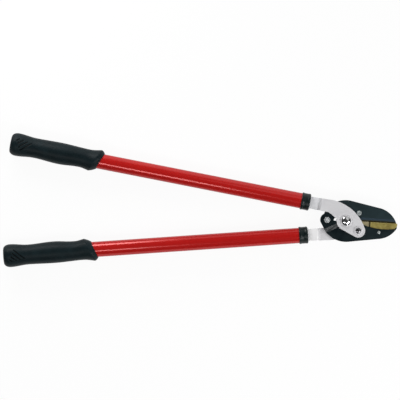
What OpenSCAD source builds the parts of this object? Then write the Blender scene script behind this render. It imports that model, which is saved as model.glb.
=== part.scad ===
// Compound anvil lopper. Two tubular handles cross at a pivot bolt. The steel
// levers in their front ends drive a blade and an anvil jaw, which are hinged
// to each other behind the bolt. The tool lies on its side with closed jaws.
// The origin is on the pivot bolt's axis, on the surface the tool lies on.
// +X points to the tip of the jaws, +Y to the upper handle and +Z up.

/* [Linkage] */
// Distance from the handle pivot back to the jaw hinge
hinge_back = 34.5; // [33:0.5:38]
// Distance from the handle pivot forward to the two jaw pivots
drive_ahead = 23; // [21:0.5:25]
// Distance of each jaw pivot from the centre line
drive_side = 16; // [14.5:0.5:17.5]
// Gap between plates that slide on each other
play = 0.15; // [0.1:0.05:0.25]
// Radial gap of a pin in the bore it turns in
fit = 0.08; // [0.05:0.01:0.12]
// Gap between parts that are clamped or pushed together
seat = 0.03; // [0.02:0.01:0.05]
// Gap between the lever's edges and the jaws' edges when closed
stop_gap = 0.6; // [0.4:0.1:0.8]

/* [Handles] */
// Angle of each handle to the centre line when closed
handle_angle = 7.5; // [6.5:0.25:8.5]
// Distance from the handle pivot to each tube's axis
handle_offset = 20.4; // [19.6:0.2:22]
// Distance from the handle pivot back to the butt of a grip, along the tube
handle_reach = 622; // [522:5:722]
// Outside diameter of a handle tube
tube_d = 28; // [27:0.5:30]
// Wall thickness of a handle tube
tube_wall = 1.5; // [1:0.1:1.8]

/* [Grips] */
// Length of a grip along the tube
grip_length = 165; // [140:1:190]
// Thickness of the grip over the tube at the butt flare
butt_wall = 6.6; // [6.4:0.1:8]
// Thickness of the grip over the tube at the waist
waist_wall = 3.9; // [3:0.1:5]
// Thickness of the grip over the tube at the belly
belly_wall = 5.5; // [4.5:0.1:6.2]
// Thickness of the grip over the tube behind the finger guard
neck_wall = 3.4; // [2.5:0.1:4.5]
// Thickness of the grip over the tube at the finger guard
guard_wall = 6.4; // [5.5:0.1:6.4]
// Thickness of the grip over the tube at its front rim
rim_wall = 1; // [0.6:0.1:2]
// Slant of the finger guard
guard_slant = 24; // [10:1:30]
// Outward bow of the grip's rear half
grip_bow = 0.9; // [0:0.1:1.2]
// Thickness of the closed end of a grip
butt_end = 6; // [4:0.5:10]
// Rounding of the butt's edge
butt_round = 7; // [4:0.5:9]

/* [Collars] */
// Distance from the handle pivot back to a collar's front face, along the tube
collar_back = 70.5; // [69:0.5:80]
// Length of a collar along the tube
collar_length = 16; // [14:0.5:22]
// Thickness of a collar around the tube
collar_wall = 1.6; // [1.2:0.1:2.4]
// Thickness of a collar's front wall
collar_face = 3; // [2:0.5:4]
// Chamfer round a collar's front edge
collar_chamfer = 1.6; // [0.6:0.1:1.8]
// Diameter of the pin that holds a lever in its tube
tang_pin_d = 5; // [4:0.5:6]

/* [Levers] */
// Thickness of the lever plates
lever_t = 5; // [4.4:0.1:5.4]
// Width of a lever's tang in the tube
tang_w = 21.5; // [19:0.5:22]
// Length of a lever's tang inside the tube
tang_depth = 40; // [30:1:60]
// Radius of a lever's boss round the handle pivot
boss_r = 17; // [15.5:0.25:17.5]
// Radius of a lever's nose round its jaw pivot
nose_r = 12.5; // [11.5:0.25:13]
// Radius of the long curved front edge of a lever
shoulder_r = 78; // [72:1:90]
// Height of a lever's shoulder over the tang's edge
shoulder_rise = 1.5; // [0.5:0.1:2]
// Distance from the handle pivot back to the joggle in a lever
joggle_back = 54.5; // [54:0.5:58]
// Length of the sloped part of a lever's joggle
joggle_run = 5.4; // [4.4:0.2:6]

/* [Jaws] */
// Thickness of the blade and of the anvil plate
jaw_t = 4; // [3.4:0.1:4.4]
// Distance from the handle pivot to the jaws' straight backs
back_r = 38; // [37:0.5:40]
// Distance from the centre line to the centre of the curve of a jaw's back
back_drop = 8.5; // [7.5:0.25:9.5]
// Distance from the handle pivot to the tip of the anvil plate
jaw_reach = 92.5; // [88:0.5:100]
// Taper of the blade's back to the centre line
blade_taper = 10.9; // [9:0.1:12]
// Taper of the anvil plate's back to the centre line
plate_taper = 9; // [8:0.1:11]
// Radius of the curve at the tip of each jaw
tip_r = 42; // [38:0.5:48]
// Height of the cutting line over the centre line
cut_line = 1; // [0.5:0.1:1.4]
// Width of the ground bevels along the cutting edge
bevel_w = 7; // [4:0.5:9]
// Thickness of the cutting edge
edge_t = 0.4; // [0.2:0.1:0.8]
// Radius of the anvil plate's lobe round the jaw hinge
lobe_r = 12.3; // [11.5:0.1:12.8]
// Radius of the blade's eye round the jaw hinge
eye_r = 9; // [8.4:0.1:9.6]
// Slip of the jaw hinge's bolt in the blade's eye
hinge_slip = 1.5; // [1.4:0.1:2]
// Length of the sloped part of the anvil plate's joggle
plate_joggle_run = 8; // [7:0.5:9]

/* [Anvil] */
// Width of the anvil bar across the jaw
bar_w = 11; // [9:0.5:13]
// Depth of the anvil bar below the cutting line
bar_depth = 11.7; // [11:0.1:12.5]
// Radius of the anvil bar's curved lower edge
bar_r = 110; // [100:1:125]
// Radius that rounds the bar's two ends
bar_nose_r = 42; // [40:0.5:44]
// Distance from the handle pivot to the deepest place of the anvil bar
bar_mid = 68; // [66:0.5:70]
// Height of the anvil bar above the plate's edge
bar_land = 4; // [3:0.25:5]
// Distance from the handle pivot to the step where the bar becomes wide
bar_step = 43.7; // [41:0.1:48]
// Diameter of the rivet that holds the anvil bar
bar_rivet_d = 4; // [3:0.25:4.5]

/* [Fasteners] */
// Diameter of the handle pivot bolt
pivot_d = 10; // [8:0.5:11]
// Diameter of the handle pivot bolt's domed head
pivot_head_d = 17; // [16:0.5:19]
// Height of the handle pivot bolt's domed head
pivot_head_h = 3.2; // [2.6:0.1:4.4]
// Diameter of the handle pivot's washers
pivot_washer_d = 20.5; // [19.5:0.5:24]
// Thickness of the handle pivot's washers
pivot_washer_t = 2; // [1.2:0.1:2.2]
// Diameter of the rivets that the jaws turn on
drive_d = 6.5; // [5.5:0.1:7]
// Diameter of the jaw rivets' domed heads
drive_head_d = 10.6; // [9.6:0.1:12]
// Height of the jaw rivets' domed heads
drive_head_h = 2; // [1.6:0.1:2.8]
// Diameter of the jaw rivets' washers
drive_washer_d = 16; // [14:0.5:18]
// Thickness of the washers under the jaw rivets and the hinge bolt
drive_washer_t = 1.5; // [1:0.1:1.8]
// Diameter of the jaw hinge's bolt
hinge_d = 6; // [5:0.25:6.5]

/* [Hidden] */
$fn = 96;
far = 400;
// How far an edge stays inside the round edge that it runs into.
inset = 0.06;
pivot = [0, 0];
hinge = [-hinge_back, 0];
drive_low = [drive_ahead, -drive_side];

// The tool's middle plane lies as high as the widest place of the grips.
butt_r = tube_d / 2 + butt_wall;
guard_r = tube_d / 2 + guard_wall;
rest_h = max(butt_r, guard_r);

// Heights over the middle plane.
jaw_top = jaw_t / 2;
lever_low = jaw_top + play;
lever_mid = lever_low + lever_t / 2;
lever_top = lever_low + lever_t;
lobe_mid = jaw_t + play;
lobe_top = lobe_mid + jaw_t / 2;

// Lever, seen along its handle with the handle pivot as origin.
drive_h = turned(drive_low, handle_angle);
hinge_h = turned(hinge, handle_angle);
tang_bottom = handle_offset - tang_w / 2;
tang_top = handle_offset + tang_w / 2;
head_top = tang_top + shoulder_rise;
shoulder_y = head_top - shoulder_r;
shoulder_x = drive_h.x - sqrt(pow(shoulder_r - nose_r, 2) - pow(shoulder_y - drive_h.y, 2));
shoulder = [shoulder_x, shoulder_y];
nose_way = (drive_h - shoulder) / norm(drive_h - shoulder);

// Places along a tube, forward from the handle pivot's foot on its axis.
butt_x = -handle_reach;
collar_x = -collar_back;
tube_x = collar_x - collar_face;
tang_x = tube_x - tang_depth;
pin_x = tube_x - 6.5;
bore_r = tube_d / 2 - tube_wall;

// Jaws.
clear_r = boss_r + stop_gap;
fork_gap = 0.5;
back_centre = [0, -back_drop];
tail_r = 7;
tail_turn = 142.6;
crotch_r = 3.4;
crotch_x = crotch_r + 0.2 - (hinge_back - lobe_r);
tail_way = -61;
bevel_x = 27;
blade_tip = [jaw_reach - 1.1, cut_line];
plate_tip = [jaw_reach, 8];

// Anvil bar.
bar_centre = [bar_mid, cut_line - bar_depth + bar_r];
bar_end = jaw_reach + 0.3;
bar_nose = [bar_end - 0.75 * bar_nose_r, cut_line + 0.54 * bar_nose_r];
bar_rivet = [bar_mid - 7.3, cut_line - bar_depth - 6.2];
tab_r = 5.6;
edge_y = cut_line - bar_land;

// Grip: radius at places along its length.
butt_run = 12;
waist_at = 0.27 * grip_length;
belly_at = 0.55 * grip_length;
neck_at = 0.825 * grip_length;
crest_at = 0.94 * grip_length;
rim_r = tube_d / 2 + rim_wall;
stations = [
    [butt_run, butt_r],
    [waist_at, tube_d / 2 + waist_wall],
    [belly_at, tube_d / 2 + belly_wall],
    [neck_at, tube_d / 2 + neck_wall],
    [crest_at, guard_r]
];
span_steps = 6;
end_steps = 5;
grip_sides = 36;

function polar(r, a) = [r * cos(a), r * sin(a)];
function turned(p, a) = [p.x * cos(a) - p.y * sin(a), p.x * sin(a) + p.y * cos(a)];
function ease(t) = (1 - cos(180 * min(max(t, 0), 1))) / 2;
function mixed(a, b, t) = a + (b - a) * t;

// Placing

// Lifts a piece drawn about the middle plane to its height over the surface.
module at_mid() {
    translate([0, 0, rest_h]) children();
}

// Turns a piece of the upper handle over, for the lower handle.
module turned_over() {
    rotate([180, 0, 0]) children();
}

// Puts a piece drawn along the tube's axis, with +X forward, on its handle.
module on_handle() {
    rotate(-handle_angle) translate([0, handle_offset, 0]) children();
}

// Stands a piece drawn along Z on the X axis, at a place along the tube.
module along_tube(x) {
    translate([x, 0, 0]) rotate([0, 90, 0]) children();
}

// Shapes used by several pieces

// A tall upright block with the outline of its child, to be cut to a plate.
module tall() {
    linear_extrude(60, center = true) children();
}

// A tall disc at a place in the plan.
module tall_disc(p, r) {
    translate([p.x, p.y, -30]) cylinder(r = r, h = 60);
}

// Two tall discs and the straight web along their outer tangents, just inside them.
module link_block(p, rp, q, rq) {
    way = atan2(q.y - p.y, q.x - p.x);
    splay = acos((rp - rq) / norm(q - p));
    tall_disc(p, rp);
    tall_disc(q, rq);
    tall() polygon([
        p + polar(rp - inset, way + splay), q + polar(rq - inset, way + splay),
        q + polar(rq - inset, way - splay), p + polar(rp - inset, way - splay)
    ]);
}

// Everything within half of thickness t of the middle plane.
module flat_slab(t) {
    cube([4 * far, 4 * far, t], center = true);
}

// A plate of thickness t that steps along X from height z0 to height z1.
module joggled_slab(t, start, run, z0, z1) {
    k = t / 2 * tan(atan2(z1 - z0, run) / 2);
    rotate([90, 0, 0]) linear_extrude(2 * far, center = true) polygon([
        [-far, z0 - t / 2], [start + k, z0 - t / 2], [start + run + k, z1 - t / 2], [far, z1 - t / 2],
        [far, z1 + t / 2], [start + run - k, z1 + t / 2], [start - k, z0 + t / 2], [-far, z0 + t / 2]
    ]);
}

// A shallow dome on the plane z = 0.
module dome(d, h) {
    ball = (d * d / 4 + h * h) / (2 * h);
    intersection() {
        translate([0, 0, h - ball]) sphere(r = ball);
        cylinder(d = d, h = h);
    }
}

// A flat ring on the plane z = 0.
module ring(outer_d, inner_d, h) {
    difference() {
        cylinder(d = outer_d, h = h);
        translate([0, 0, -1]) cylinder(d = inner_d, h = h + 2);
    }
}

// A hexagon nut with a round collar that holds a nylon ring, on z = 0.
module lock_nut(d) {
    flats = 1.7 * d;
    hex_h = 0.72 * d;
    difference() {
        union() {
            intersection() {
                cylinder(d = flats / cos(30), h = hex_h, $fn = 6);
                translate([0, 0, -0.1 * d]) cylinder(d1 = 2.35 * d, d2 = 1.75 * d, h = hex_h + 0.1 * d);
            }
            translate([0, 0, hex_h]) cylinder(d1 = 1.55 * d, d2 = 1.4 * d, h = 0.26 * d);
        }
        translate([0, 0, -1]) cylinder(d = d + 2 * seat, h = 2 * d);
        translate([0, 0, 0.74 * d]) cylinder(d = 1.25 * d, h = d);
    }
}

// The nylon ring of a lock nut, in the place it has in the nut.
module lock_ring(d) {
    translate([0, 0, 0.74 * d + seat]) ring(1.25 * d - 2 * seat, d + 2 * seat, 0.2 * d);
}

// Handles

// One ring of the grip's skin, given by its distance from the butt and its radius.
function grip_ring(d, r) =
    let (slant = tan(guard_slant) * ease((d - belly_at) / (neck_at - belly_at)))
    let (bow = grip_bow * (1 - ease((d - waist_at) / (belly_at - waist_at))))
    [for (j = [0 : grip_sides - 1])
        let (p = polar(r, 360 * j / grip_sides))
        [d + slant * p.x, p.x + bow, p.y]];

function grip_skin() = concat(
    [for (i = [0 : end_steps - 1]) let (a = 90 * i / end_steps)
        grip_ring(butt_run * (1 - cos(a)), butt_r - butt_round * (1 - sin(a)))],
    [for (s = [0 : len(stations) - 2], i = [0 : span_steps - 1]) let (t = i / span_steps)
        grip_ring(mixed(stations[s].x, stations[s + 1].x, t),
            mixed(stations[s].y, stations[s + 1].y, ease(t)))],
    [for (i = [0 : end_steps]) let (a = 90 * i / end_steps)
        grip_ring(mixed(crest_at, grip_length, sin(a)), mixed(rim_r, guard_r, cos(a)))]
);

// Moulded rubber grip, pushed over the tube's end.
module grip() {
    rings = grip_skin();
    n = grip_sides;
    last = len(rings) - 1;
    sides = [for (i = [0 : last - 1], j = [0 : n - 1])
        let (a = i * n + j, b = i * n + (j + 1) % n)
        each [[a, a + n, b], [b, a + n, b + n]]];
    caps = [[for (j = [0 : n - 1]) j], [for (j = [0 : n - 1]) last * n + n - 1 - j]];
    difference() {
        translate([butt_x, 0, 0])
            polyhedron(points = [for (ring = rings) each ring], faces = concat(sides, caps), convexity = 6);
        along_tube(butt_x + butt_end - seat) cylinder(d = tube_d + 2 * seat, h = grip_length + 50);
    }
}

// Round steel tube with two holes for the tang pin.
module tube() {
    difference() {
        along_tube(butt_x + butt_end) cylinder(d = tube_d, h = tube_x - butt_x - butt_end);
        along_tube(butt_x) cylinder(r = bore_r, h = handle_reach);
        tall_disc([pin_x, 0], tang_pin_d / 2 + seat);
    }
}

// Moulded cap over the tube's front end, slotted for the lever's tang.
module collar() {
    outer_r = tube_d / 2 + seat + collar_wall;
    difference() {
        along_tube(collar_x - collar_length) rotate_extrude() polygon([
            [0, 0], [outer_r - 0.5, 0], [outer_r, 0.5], [outer_r, collar_length - collar_chamfer],
            [outer_r - collar_chamfer, collar_length], [0, collar_length]
        ]);
        along_tube(tube_x + seat - 50) cylinder(d = tube_d + 2 * seat, h = 50);
        cube([2 * far, tang_w + 2 * seat, lever_t + 2 * seat], center = true);
    }
}

// Nylon plug that fills the tube round the tang.
module sleeve() {
    difference() {
        along_tube(tang_x - 4) cylinder(r = bore_r - fit - seat, h = tang_depth + 4);
        translate([tang_x - 0.5, -tang_w / 2 - seat, -lever_t / 2 - seat])
            cube([tang_depth + 10, tang_w + 2 * seat, lever_t + 2 * seat]);
        tall_disc([pin_x, 0], tang_pin_d / 2 + seat);
    }
}

// Steel pin through tube, plug and tang, covered by the collar.
module tang_pin() {
    translate([pin_x, 0, -tube_d / 2 + 0.4]) cylinder(d = tang_pin_d, h = tube_d - 0.8);
}

// Upper lever as a tall block about the handle pivot.
module lever_block() {
    difference() {
        union() {
            link_block(pivot, boss_r, drive_low, nose_r);
            rotate(-handle_angle) {
                tall() polygon([
                    [tang_x, tang_bottom], [tang_x, tang_top], [collar_x, tang_top],
                    [shoulder_x, head_top - 2 * inset], [shoulder_x + 1, tang_bottom]
                ]);
                intersection() {
                    tall_disc(shoulder, shoulder_r - inset);
                    tall() polygon([
                        [shoulder_x, tang_bottom], [shoulder_x, 2 * head_top],
                        [shoulder_x + shoulder_r, head_top], drive_h + 2 * nose_r * nose_way,
                        drive_h, pivot, [1 - boss_r, 0], [hinge_h.x, tang_bottom]
                    ]);
                }
            }
        }
        tall_disc(hinge, lobe_r + stop_gap);
    }
}

// Steel lever: its tang lies in the tube's middle, its head one joggle higher.
module lever() {
    difference() {
        intersection() {
            lever_block();
            rotate(-handle_angle) joggled_slab(lever_t, -joggle_back, joggle_run, 0, lever_mid);
        }
        tall_disc(pivot, pivot_d / 2 + fit);
        tall_disc(drive_low, drive_d / 2 + fit);
        on_handle() tall_disc([pin_x, 0], tang_pin_d / 2 + seat);
    }
}

// Handle pivot

// Bolt with a domed head on the upper lever, its end on the resting surface.
module pivot_bolt_body() {
    head_z = lever_top + play + pivot_washer_t + seat;
    translate([0, 0, head_z]) dome(pivot_head_d, pivot_head_h);
    translate([0, 0, -rest_h + 0.8]) cylinder(d = pivot_d, h = rest_h + head_z - 0.8);
    translate([0, 0, -rest_h]) cylinder(d1 = pivot_d - 1.6, d2 = pivot_d, h = 0.8);
}

module pivot_washer() {
    translate([0, 0, lever_top + play]) ring(pivot_washer_d, pivot_d + 2 * fit, pivot_washer_t);
}

// Bush that keeps the two levers apart, inside the jaws' clear round.
module spacer() {
    half = lever_low - seat;
    translate([0, 0, -half]) ring(pivot_d + 6, pivot_d + 2 * fit, 2 * half);
}

// Puts a piece drawn on z = 0 under the lower washer, facing down.
module under_pivot() {
    translate([0, 0, -lever_top - play - pivot_washer_t - seat]) rotate([180, 0, 0]) children();
}

// Jaws

// Centre of a jaw's tip curve, which runs from its straight back to the point p.
function tip_centre(taper, p) =
    let (start = (back_r - tip_r) * [sin(taper), cos(taper)])
    let (way = [cos(taper), -sin(taper)])
    let (reach = (p - start) * way)
    start + way * (reach - sqrt(tip_r * tip_r - (p - start) * (p - start) + reach * reach));

// Jaw over the centre line as a tall block, down to its edge at height y.
module jaw_block(taper, p, hinge_r, y) {
    square_up = [sin(taper), cos(taper)];
    tip = tip_centre(taper, p);
    curve_r = back_r + back_drop * cos(taper);
    tail = back_centre + polar(curve_r - tail_r, tail_turn);
    difference() {
        intersection() {
            union() {
                intersection() {
                    tall_disc(back_centre, curve_r - inset);
                    tall() polygon([
                        [hinge.x + 6.5, 0], tail, back_centre + polar(3 * curve_r, tail_turn),
                        back_centre + polar(3 * curve_r, 116), back_centre + polar(3 * curve_r, 60), [10, 0]
                    ]);
                }
                link_block(hinge, hinge_r - inset, tail, tail_r);
                tall_disc(tip, tip_r);
                tall() polygon([
                    pivot, back_centre + (curve_r - 2 * inset) * square_up,
                    tip + (tip_r - inset) * square_up, tip
                ]);
            }
            tall() translate([-far, y]) square([far + jaw_reach, far]);
        }
        tall_disc(pivot, clear_r);
    }
    tall_disc(hinge, hinge_r);
}

// Blade ground on both faces, with a wide eye for the hinge bolt's slip.
module blade_body() {
    low = cut_line + seat;
    difference() {
        intersection() {
            jaw_block(blade_taper, blade_tip, eye_r, low);
            flat_slab(jaw_t);
        }
        tall_disc([crotch_x, low], crotch_r);
        for (side = [0, 1]) mirror([0, 0, side])
            translate([bevel_x, 0, 0]) rotate([90, 0, 90]) linear_extrude(far) polygon([
                [low - 1, edge_t / 2], [low, edge_t / 2], [low + bevel_w, jaw_top],
                [low + bevel_w, jaw_top + 1], [low - 1, jaw_top + 1]
            ]);
        tall_disc(hinge, hinge_d / 2 + hinge_slip);
        tall_disc([drive_ahead, drive_side], drive_d / 2 + seat);
        translate([drive_ahead, drive_side, jaw_top]) flush_end(seat);
    }
}

// Anvil plate: level with the blade, joggled up to a lobe over the blade's eye.
module anvil_plate_body() {
    difference() {
        intersection() {
            mirror([0, 1, 0]) jaw_block(plate_taper, plate_tip, lobe_r, fork_gap);
            translate(hinge) rotate(tail_way) joggled_slab(jaw_t, lobe_r, plate_joggle_run, lobe_mid, 0);
        }
        intersection() {
            tall() bar_plan(seat);
            cube([2 * (bar_step + 2 * seat), far, far], center = true);
        }
        translate([bar_step, edge_y - seat, -far / 2]) cube([far, far, far]);
        tall_disc(hinge, hinge_d / 2 + seat);
        tall_disc(drive_low, drive_d / 2 + seat);
        tall_disc(bar_rivet, bar_rivet_d / 2 + seat);
        translate([drive_low.x, drive_low.y, -jaw_top]) rotate([180, 0, 0]) flush_end(seat);
    }
}

// Anvil bar

// Lens-shaped outline of the bar, grown by g.
module bar_plan(g) {
    intersection() {
        translate(bar_centre) circle(r = bar_r + g);
        translate(bar_nose) circle(r = bar_nose_r + g);
        translate([0, cut_line - 2 * bar_depth]) square([bar_end, 2 * bar_depth]);
    }
}

// Brass bar: a tongue as thick as the plate, then a wide part astride the plate's
// edge, with a tab behind the plate for its rivet.
module anvil_bar_body() {
    difference() {
        union() {
            intersection() {
                tall() bar_plan(0);
                translate([0, -far / 2, -jaw_top]) cube([bar_step + 1, far, jaw_t]);
            }
            intersection() {
                tall() bar_plan(0);
                translate([bar_step, -far / 2, -bar_w / 2]) cube([far, far, bar_w]);
            }
            translate([bar_rivet.x, bar_rivet.y, -bar_w / 2]) cylinder(r = tab_r, h = bar_w / 2);
            translate([bar_rivet.x - tab_r, bar_rivet.y, -bar_w / 2])
                cube([2 * tab_r, cut_line - bar_rivet.y - 1, bar_w / 2]);
        }
        translate([bar_step + 2 * seat, edge_y - far, -jaw_top - seat]) cube([far, far, jaw_t + 2 * seat]);
        tall_disc(bar_rivet, bar_rivet_d / 2 + seat);
    }
}

module anvil_bar_rivet_body() {
    translate([bar_rivet.x, bar_rivet.y, 0]) {
        translate([0, 0, jaw_top + seat]) dome(1.4 * bar_rivet_d, 1);
        translate([0, 0, -bar_w / 2 - seat]) cylinder(d = bar_rivet_d, h = bar_w / 2 + jaw_top + 2 * seat);
        translate([0, 0, -bar_w / 2 - seat]) rotate([180, 0, 0]) dome(1.4 * bar_rivet_d, 1);
    }
}

// Jaw pivots

// Flared end of a jaw rivet, below the plane z = 0 and grown by g.
module flush_end(g) {
    translate([0, 0, -1.2]) cylinder(d1 = drive_d + 2 * g, d2 = drive_d + 2.6 + 2 * g, h = 1.2);
}

// Rivet of the anvil plate: domed head over the upper lever, flush end in the plate.
module drive_rivet() {
    head_z = lever_top + play + drive_washer_t + seat;
    translate([drive_low.x, drive_low.y, 0]) {
        translate([0, 0, head_z]) dome(drive_head_d, drive_head_h);
        translate([0, 0, -jaw_top]) cylinder(d = drive_d, h = head_z + jaw_top);
        translate([0, 0, -jaw_top]) rotate([180, 0, 0]) flush_end(0);
    }
}

module drive_washer() {
    translate([drive_low.x, drive_low.y, lever_top + play])
        ring(drive_washer_d, drive_d + 2 * seat, drive_washer_t);
}

// Jaw hinge

// Hexagon bolt from behind, through the blade's eye and the anvil plate's lobe.
module hinge_bolt_body() {
    head_z = -jaw_top - play - drive_washer_t - seat;
    end_z = lobe_top + seat + 1.2 * hinge_d;
    translate([hinge.x, hinge.y, 0]) {
        translate([0, 0, head_z - 0.66 * hinge_d])
            cylinder(d = 1.7 * hinge_d / cos(30), h = 0.66 * hinge_d, $fn = 6);
        translate([0, 0, head_z]) cylinder(d = hinge_d, h = end_z - head_z - 0.6);
        translate([0, 0, end_z - 0.6]) cylinder(d1 = hinge_d, d2 = hinge_d - 1.2, h = 0.6);
    }
}

module hinge_washer_body() {
    translate([hinge.x, hinge.y, -jaw_top - play - drive_washer_t])
        ring(drive_washer_d, hinge_d + 2 * seat, drive_washer_t);
}

// Puts a piece drawn on z = 0 on the anvil plate's lobe at the hinge.
module on_lobe() {
    translate([hinge.x, hinge.y, lobe_top + seat]) children();
}

// Parts, each in its place

module lower_grip() color([0.09, 0.12, 0.13]) at_mid() turned_over() on_handle() grip();
module lower_tube() color([0.72, 0.08, 0.12]) at_mid() turned_over() on_handle() tube();
module lower_collar() color([0.06, 0.08, 0.09]) at_mid() turned_over() on_handle() collar();
module lower_sleeve() color([0.85, 0.85, 0.82]) at_mid() turned_over() on_handle() sleeve();
module lower_tang_pin() color([0.62, 0.63, 0.65]) at_mid() turned_over() on_handle() tang_pin();
module lower_lever() color([0.78, 0.78, 0.8]) at_mid() turned_over() lever();

module pivot_bolt() color([0.82, 0.83, 0.85]) at_mid() pivot_bolt_body();
module pivot_head_washer() color([0.75, 0.76, 0.78]) at_mid() pivot_washer();
module pivot_spacer() color([0.6, 0.61, 0.63]) at_mid() spacer();
module pivot_nut_washer() color([0.75, 0.76, 0.78]) at_mid() turned_over() pivot_washer();
module pivot_nut() color([0.72, 0.72, 0.72]) at_mid() under_pivot() lock_nut(pivot_d);
module pivot_nut_ring() color([0.2, 0.35, 0.6]) at_mid() under_pivot() lock_ring(pivot_d);

module upper_grip() color([0.09, 0.12, 0.13]) at_mid() on_handle() grip();
module upper_tube() color([0.72, 0.08, 0.12]) at_mid() on_handle() tube();
module upper_collar() color([0.06, 0.08, 0.09]) at_mid() on_handle() collar();
module upper_sleeve() color([0.85, 0.85, 0.82]) at_mid() on_handle() sleeve();
module upper_tang_pin() color([0.62, 0.63, 0.65]) at_mid() on_handle() tang_pin();
module upper_lever() color([0.78, 0.78, 0.8]) at_mid() lever();

module blade() color([0.1, 0.11, 0.13]) at_mid() blade_body();
module blade_rivet() color([0.78, 0.79, 0.8]) at_mid() turned_over() drive_rivet();
module blade_washer() color([0.75, 0.76, 0.78]) at_mid() turned_over() drive_washer();

module anvil_plate() color([0.1, 0.11, 0.13]) at_mid() anvil_plate_body();
module anvil_bar() color([0.6, 0.53, 0.26]) at_mid() anvil_bar_body();
module anvil_bar_rivet() color([0.45, 0.45, 0.45]) at_mid() anvil_bar_rivet_body();
module anvil_rivet() color([0.78, 0.79, 0.8]) at_mid() drive_rivet();
module anvil_washer() color([0.75, 0.76, 0.78]) at_mid() drive_washer();

module hinge_bolt() color([0.6, 0.61, 0.58]) at_mid() hinge_bolt_body();
module hinge_washer() color([0.75, 0.76, 0.78]) at_mid() hinge_washer_body();
module hinge_nut() color([0.6, 0.61, 0.58]) at_mid() on_lobe() lock_nut(hinge_d);
module hinge_nut_ring() color([0.2, 0.35, 0.6]) at_mid() on_lobe() lock_ring(hinge_d);

lower_grip();
lower_tube();
lower_collar();
lower_sleeve();
lower_tang_pin();
lower_lever();
pivot_bolt();
pivot_head_washer();
pivot_spacer();
pivot_nut_washer();
pivot_nut();
pivot_nut_ring();
upper_grip();
upper_tube();
upper_collar();
upper_sleeve();
upper_tang_pin();
upper_lever();
blade();
blade_rivet();
blade_washer();
anvil_plate();
anvil_bar();
anvil_bar_rivet();
anvil_rivet();
anvil_washer();
hinge_bolt();
hinge_washer();
hinge_nut();
hinge_nut_ring();
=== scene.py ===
import math

import bmesh
import bpy
from mathutils import Matrix, Vector


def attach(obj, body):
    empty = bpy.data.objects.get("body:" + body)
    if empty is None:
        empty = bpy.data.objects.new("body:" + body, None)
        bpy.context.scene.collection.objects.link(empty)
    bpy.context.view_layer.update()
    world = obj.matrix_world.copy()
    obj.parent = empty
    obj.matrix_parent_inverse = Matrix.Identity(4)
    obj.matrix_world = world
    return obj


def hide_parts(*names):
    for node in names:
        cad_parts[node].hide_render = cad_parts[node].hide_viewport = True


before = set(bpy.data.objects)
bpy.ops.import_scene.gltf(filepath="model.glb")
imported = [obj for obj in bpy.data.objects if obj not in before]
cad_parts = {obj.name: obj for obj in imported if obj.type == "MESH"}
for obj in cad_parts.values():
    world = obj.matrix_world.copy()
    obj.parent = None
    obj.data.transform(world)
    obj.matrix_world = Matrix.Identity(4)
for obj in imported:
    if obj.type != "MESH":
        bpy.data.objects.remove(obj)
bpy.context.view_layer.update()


# ---------------------------------------------------------------------------
# The two levers: 5 mm steel strip, stamped to outline and pressed with one
# joggle, so that the head runs beside the jaws while the tang stays in the
# middle of the tube. Edges tumbled round, then zinc plated to a satin grey.
# ---------------------------------------------------------------------------

MM = 0.001  # lengths of the tool are in millimetres and angles in degrees
WELD, FLAT_WITHIN = 0.001, 0.3
LEVER_EDGE, LEVER_BEND, LEVER_FOLD = 1.0, 1.5, 0.5
LEVER_PALE, LEVER_DARK = (0.79, 0.785, 0.8, 1), (0.69, 0.685, 0.705, 1)
ROLLING_GRAIN = (60, 1400, 1400)
# painted light on the tang: fades in from the second place back and is full at the first, in
# millimetres along the lever
TANG_LIGHT_FROM = (-54.0, -45.0)
HANDLE_ANGLE = 7.5
HANDLES = (
    # side, turn that lays its lever along X, tone painted on its tang behind the joggle (painted
    # light: near white on the lower lever)
    ("lower", -HANDLE_ANGLE, (0.95, 0.945, 0.95, 1)),
    ("upper", HANDLE_ANGLE, (0.77, 0.775, 0.8, 1)),
)


class Wire:
    """A socket of a node tree. Sums with it add Math nodes to the tree."""

    def __init__(self, tree, socket=None):
        self.tree, self.socket = tree, socket

    def node(self, kind, settings, sockets, out=0):
        made = self.tree.nodes.new(kind)
        for name, value in settings.items():
            setattr(made, name, value)
        for name, value in sockets.items():
            if isinstance(value, Wire):
                self.tree.links.new(value.socket, made.inputs[name])
            else:
                made.inputs[name].default_value = value
        return Wire(self.tree, made.outputs[out] if made.outputs else None)

    def sum(self, operation, *values):
        return self.node("ShaderNodeMath", {"operation": operation}, dict(enumerate(values)))

    def __add__(self, other):
        return self.sum("ADD", self, other)

    def __radd__(self, other):
        return self.sum("ADD", other, self)

    def __sub__(self, other):
        return self.sum("SUBTRACT", self, other)

    def __rsub__(self, other):
        return self.sum("SUBTRACT", other, self)

    def __mul__(self, other):
        return self.sum("MULTIPLY", self, other)

    def __rmul__(self, other):
        return self.sum("MULTIPLY", other, self)

    def __truediv__(self, other):
        return self.sum("DIVIDE", self, other)

    def rise(self, low, high):
        """0 below low, 1 above high, smooth between them."""
        return self.node("ShaderNodeMapRange", {"interpolation_type": "SMOOTHSTEP"},
                         {0: self, 1: low, 2: high})

    def between(self, first, second):
        """A colour that goes from first to second as this value goes from 0 to 1."""
        return self.node("ShaderNodeMix", {"data_type": "RGBA"},
                         {0: self, 6: first, 7: second}, out=2)


def new_finish(name):
    """An empty material and the wire that its nodes are made from."""
    finish = bpy.data.materials.new(name)
    finish.use_nodes = True
    finish.node_tree.nodes.clear()
    return finish, Wire(finish.node_tree)


def coat(wire, sockets):
    """Ends a finish with its shader."""
    shader = wire.node("ShaderNodeBsdfPrincipled", {}, sockets)
    wire.node("ShaderNodeOutputMaterial", {}, {"Surface": shader})


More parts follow.
